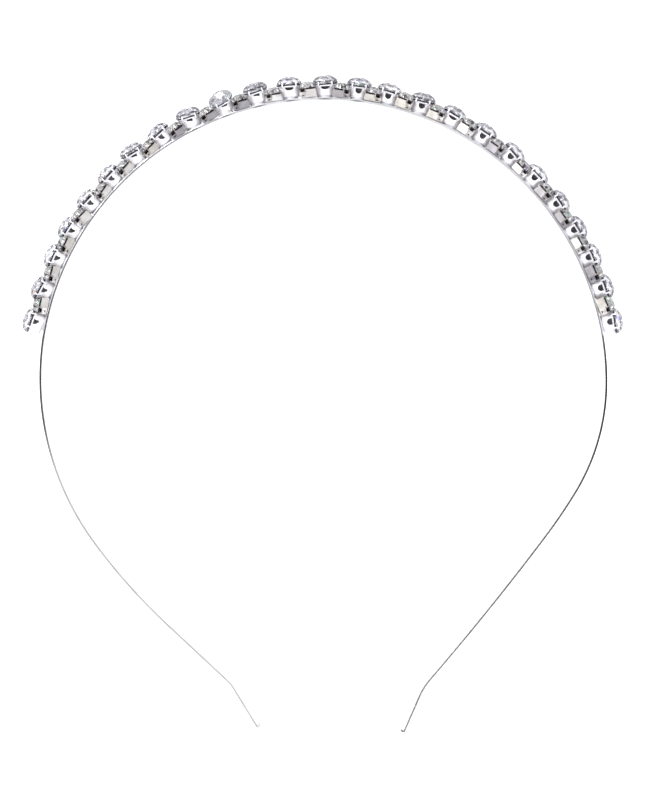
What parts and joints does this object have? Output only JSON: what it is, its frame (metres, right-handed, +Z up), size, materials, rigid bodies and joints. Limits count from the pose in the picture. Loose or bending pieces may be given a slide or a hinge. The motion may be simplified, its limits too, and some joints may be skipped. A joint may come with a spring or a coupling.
{
  "type": "crystal headband",
  "caption": "Springy open metal headband with round crystals in prong settings over its crown and pairs of small crystals between them.",
  "frame": {"origin": "middle of the band's bounding box on the surface that it lies on", "axes": "+X across the head from the left leg to the right leg, +Y towards the crown's top, +Z up through the strip's width towards the front row of small crystals"},
  "size_m": [0.1303, 0.1425, 0.0095],
  "materials": {
    "silver_metal": "polished silver plate",
    "crystal": "clear cut glass with a foiled back"
  },
  "bodies": {
    "root": {"band": "silver_metal", "small_crystals_front": "crystal", "small_crystals_back": "crystal", "crystal_01": "crystal", "crystal_02": "crystal", "crystal_03": "crystal", "crystal_04": "crystal", "crystal_05": "crystal", "crystal_06": "crystal", "crystal_07": "crystal", "crystal_08": "crystal", "crystal_09": "crystal", "crystal_10": "crystal", "crystal_11": "crystal", "crystal_12": "crystal", "crystal_13": "crystal", "crystal_14": "crystal", "crystal_15": "crystal", "crystal_16": "crystal", "crystal_17": "crystal", "crystal_18": "crystal", "crystal_19": "crystal", "crystal_20": "crystal", "crystal_21": "crystal", "crystal_22": "crystal", "crystal_23": "crystal", "crystal_24": "crystal", "crystal_25": "crystal"}
  },
  "joints": []
}
